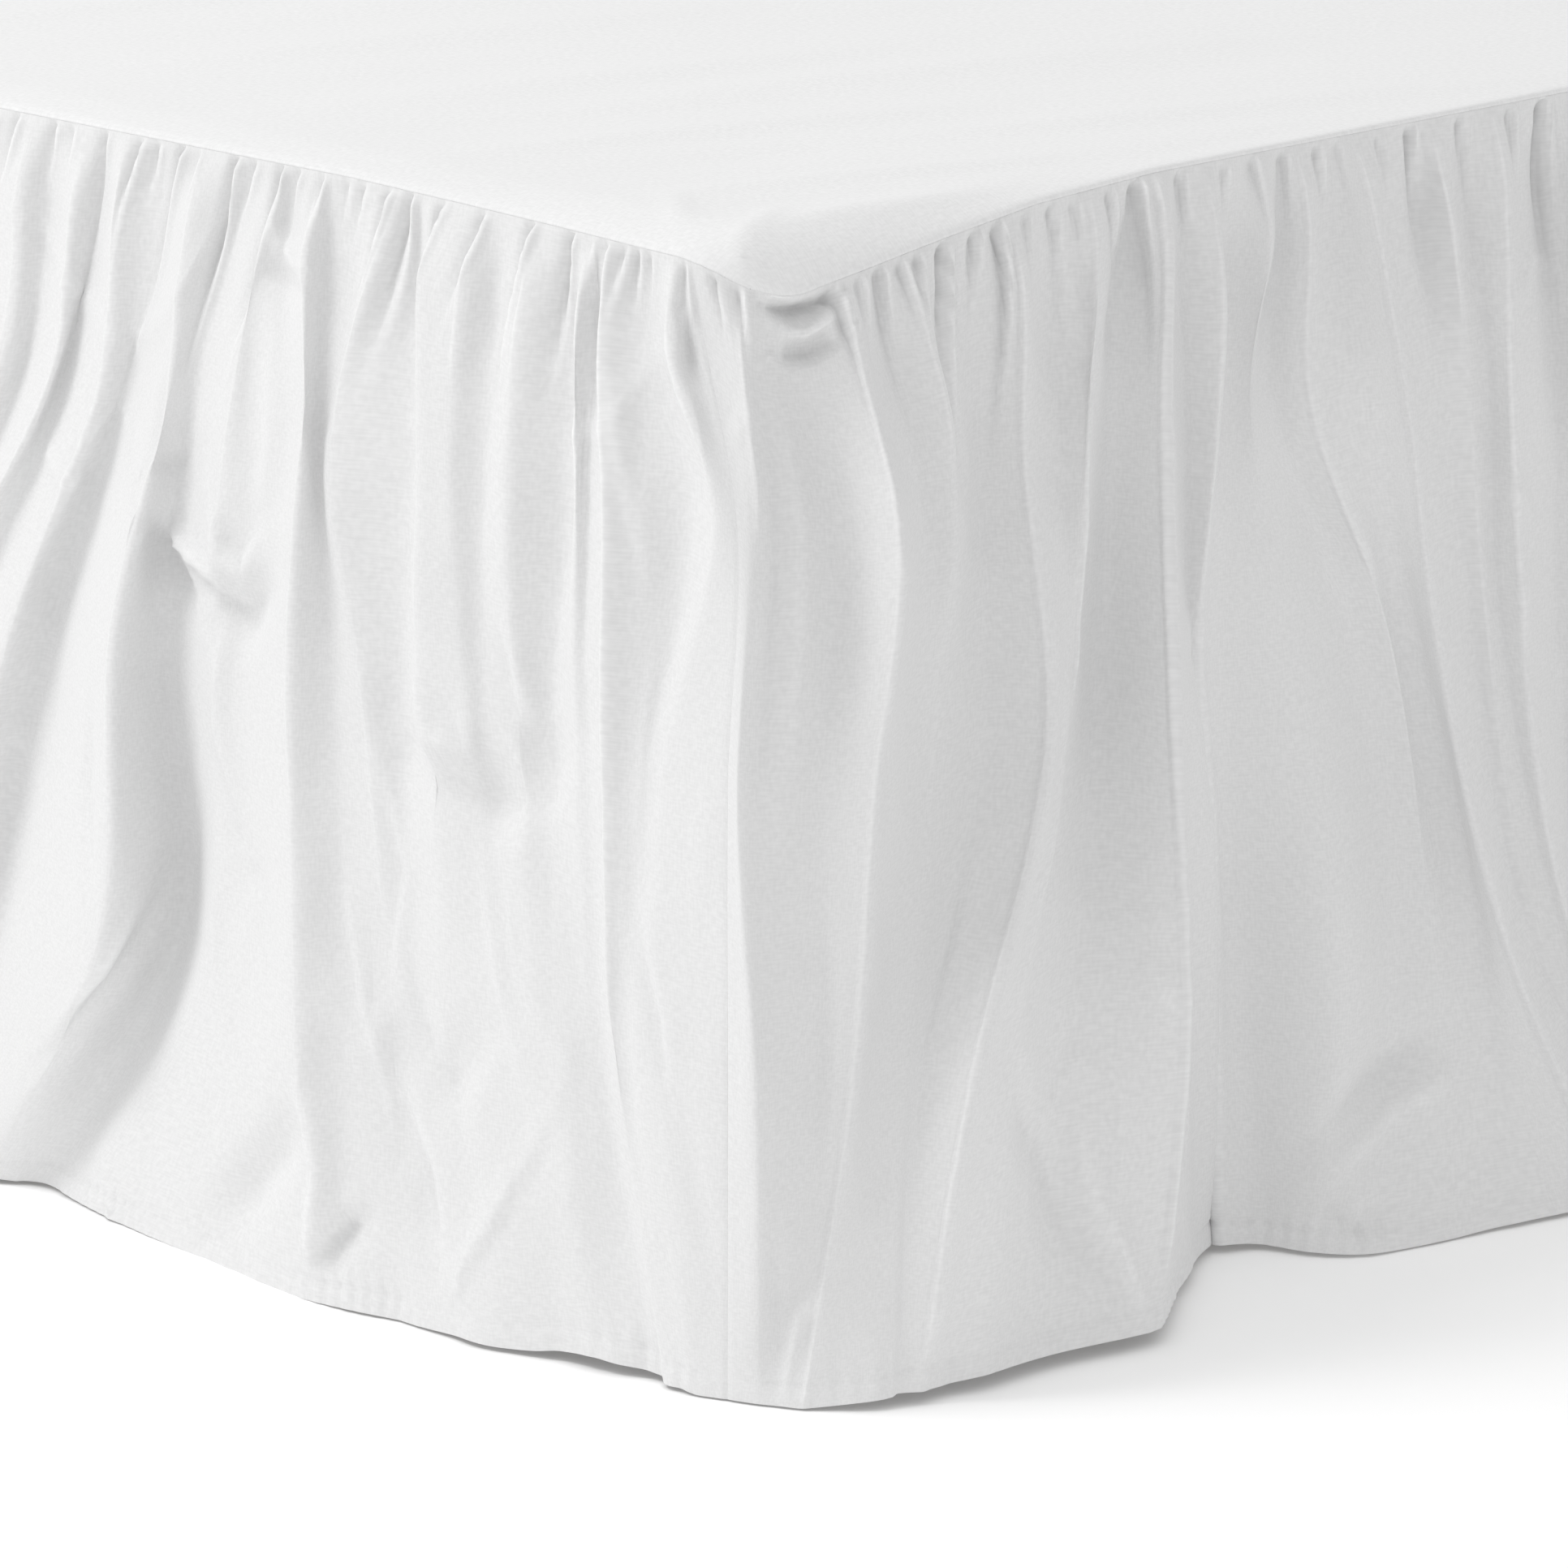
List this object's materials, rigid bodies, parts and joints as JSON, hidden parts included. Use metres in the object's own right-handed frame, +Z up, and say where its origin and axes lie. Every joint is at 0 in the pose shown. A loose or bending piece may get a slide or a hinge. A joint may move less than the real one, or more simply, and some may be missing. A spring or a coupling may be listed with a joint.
{
  "type": "bed skirt on a bed base",
  "caption": "Gathered white cotton bed skirt with a flat platform panel, hanging to the floor over a plain single bed base.",
  "frame": {"origin": "centre of the part's box on the floor", "axes": "+Z up, +Y from the foot of the bed to its head, +X to the right when looking from the foot"},
  "size_m": [1.1943, 2.1119, 0.5191],
  "materials": {
    "cotton": "matt plain weave",
    "base_cover": "matt woven cover",
    "leg_wood": "satin lacquer"
  },
  "bodies": {
    "root": {"platform_panel": "cotton", "ruffle_foot": "cotton", "ruffle_left": "cotton", "ruffle_right": "cotton", "bed_base": "base_cover", "leg_foot_left": "leg_wood", "leg_foot_right": "leg_wood", "leg_head_left": "leg_wood", "leg_head_right": "leg_wood"}
  },
  "joints": []
}
